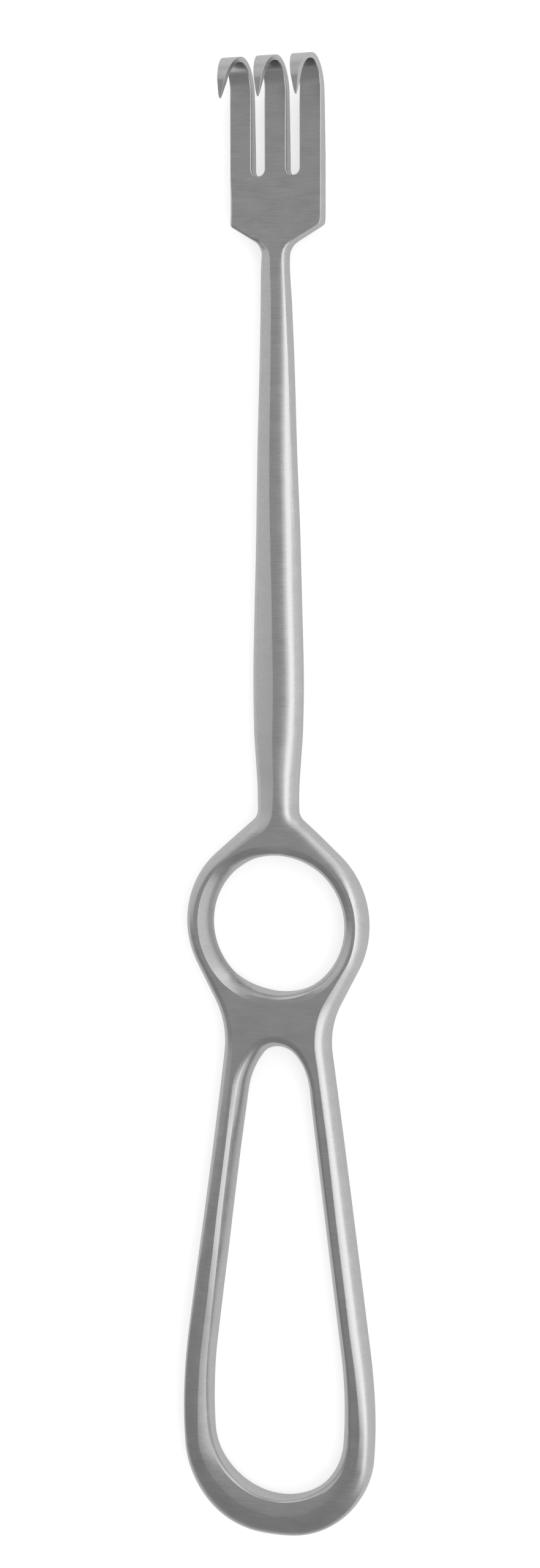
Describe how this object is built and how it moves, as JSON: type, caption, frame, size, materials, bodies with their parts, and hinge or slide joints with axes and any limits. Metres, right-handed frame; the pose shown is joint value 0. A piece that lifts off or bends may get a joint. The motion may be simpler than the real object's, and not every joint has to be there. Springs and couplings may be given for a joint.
{
  "type": "handheld surgical retractor",
  "caption": "Hand retractor forged in one piece: a fork of sharp curled hooks on a slim oval shank, with a finger ring and a long open loop as its handle.",
  "frame": {"origin": "under the middle of the length and width, on the plane of the handle's back", "axes": "+Z towards the side that the hooks curl to, +Y from the loop handle to the fork, +X to the right seen from above with the fork away"},
  "size_m": [0.03, 0.22, 0.0115],
  "materials": {
    "steel": "satin, hand-ground stainless steel"
  },
  "bodies": {
    "root": {"retractor": "steel"}
  },
  "joints": []
}
